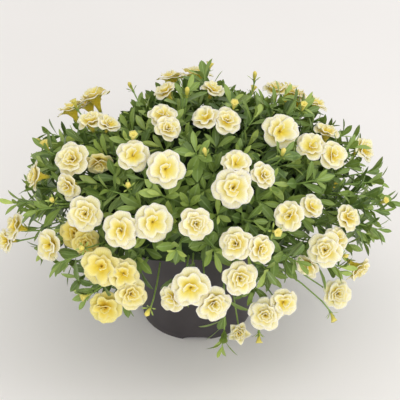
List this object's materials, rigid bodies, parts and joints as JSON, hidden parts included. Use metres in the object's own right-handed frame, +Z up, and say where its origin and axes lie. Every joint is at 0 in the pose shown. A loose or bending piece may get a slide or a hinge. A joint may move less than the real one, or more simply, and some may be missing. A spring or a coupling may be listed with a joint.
{
  "type": "potted calibrachoa",
  "caption": "Double-flowered calibrachoa: a dome of ruffled pale yellow blooms over small dark green leaves, in a tapered charcoal nursery pot.",
  "frame": {"origin": "on the axis of the pot, on the surface that the pot stands on", "axes": "+Z up; the side seen in the picture faces -Y; +X is to its right"},
  "size_m": [0.3649, 0.2991, 0.2479],
  "materials": {
    "pot": "charcoal polypropylene, matt with a soft sheen",
    "soil": "dark moist peat compost",
    "leaf": "dark green leaf with a soft gloss",
    "petal": "pale cream yellow petal, matt, golden in the throat"
  },
  "bodies": {
    "root": {"pot": "pot", "soil": "soil", "bloom_01": "petal", "bloom_02": "petal", "bloom_03": "petal", "bloom_04": "petal", "bloom_05": "petal", "bloom_06": "petal", "bloom_07": "petal", "bloom_08": "petal", "bloom_09": "petal", "bloom_10": "petal", "bloom_11": "petal", "bloom_12": "petal", "bloom_13": "petal", "bloom_14": "petal", "bloom_15": "petal", "bloom_16": "petal", "bloom_17": "petal", "bloom_18": "petal", "bloom_19": "petal", "bloom_20": "petal", "bloom_21": "petal", "bloom_22": "petal", "bloom_23": "petal", "bloom_24": "petal", "bloom_25": "petal", "bloom_26": "petal", "bloom_27": "petal", "bloom_28": "petal", "bloom_29": "petal", "bloom_30": "petal", "bloom_31": "petal", "bloom_32": "petal", "bloom_33": "petal", "bloom_34": "petal", "bloom_35": "petal", "bloom_36": "petal", "bloom_37": "petal", "bloom_38": "petal", "bloom_39": "petal", "bloom_40": "petal", "bloom_41": "petal", "bloom_42": "petal", "bloom_43": "petal", "bloom_44": "petal", "bloom_45": "petal", "leafy_stem_01": "leaf", "leafy_stem_02": "leaf", "leafy_stem_03": "leaf", "leafy_stem_04": "leaf", "leafy_stem_05": "leaf", "leafy_stem_06": "leaf", "leafy_stem_07": "leaf", "leafy_stem_08": "leaf", "leafy_stem_09": "leaf", "leafy_stem_10": "leaf", "leafy_stem_11": "leaf", "leafy_stem_12": "leaf", "leafy_stem_13": "leaf"}
  },
  "joints": []
}
